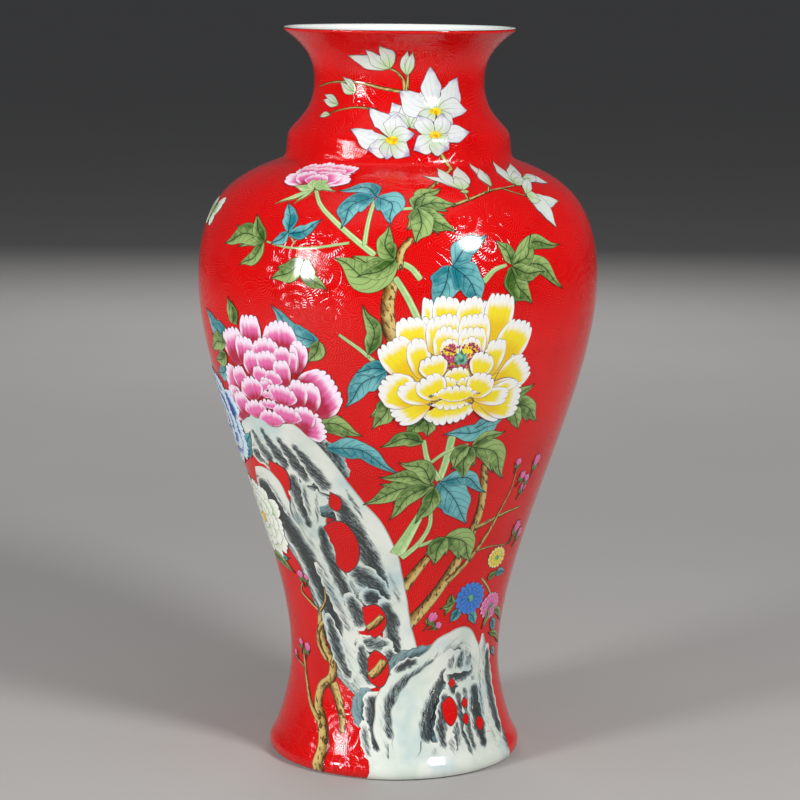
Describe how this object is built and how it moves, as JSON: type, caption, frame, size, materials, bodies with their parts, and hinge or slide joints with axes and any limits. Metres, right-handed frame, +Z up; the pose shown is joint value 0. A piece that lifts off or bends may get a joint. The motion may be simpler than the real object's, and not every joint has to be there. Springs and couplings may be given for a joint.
{
  "type": "baluster vase",
  "caption": "Tall open baluster vase in enamelled porcelain: flared mouth, stepped collar, full shoulder, narrow waist and spread foot; holds cut branches or stands as an ornament.",
  "frame": {"origin": "centre of the foot ring, on the plane that the vase stands on", "axes": "+Z up along the axis of the vase; +Y away from the side that carries the main painted peonies, so that side faces -Y; +X to the right of it"},
  "size_m": [0.2176, 0.2176, 0.4],
  "materials": {
    "red_enamel": "glossy ruby-red enamel with fine scratched scrolls",
    "white_glaze": "glossy clear glaze over white porcelain",
    "biscuit": "matt unglazed porcelain and slip",
    "painted_enamel": "glossy raised overglaze enamels in white, yellow, pink, blue and green"
  },
  "bodies": {
    "root": {"foot_section": "red_enamel", "waist_section": "red_enamel", "belly_section": "red_enamel", "shoulder_section": "red_enamel", "neck_section": "red_enamel", "base_slab": "white_glaze", "floor_slip_ring": "biscuit", "waist_slip_ring": "biscuit", "body_slip_ring": "biscuit", "belly_slip_ring": "biscuit", "neck_slip_ring": "biscuit"}
  },
  "joints": []
}
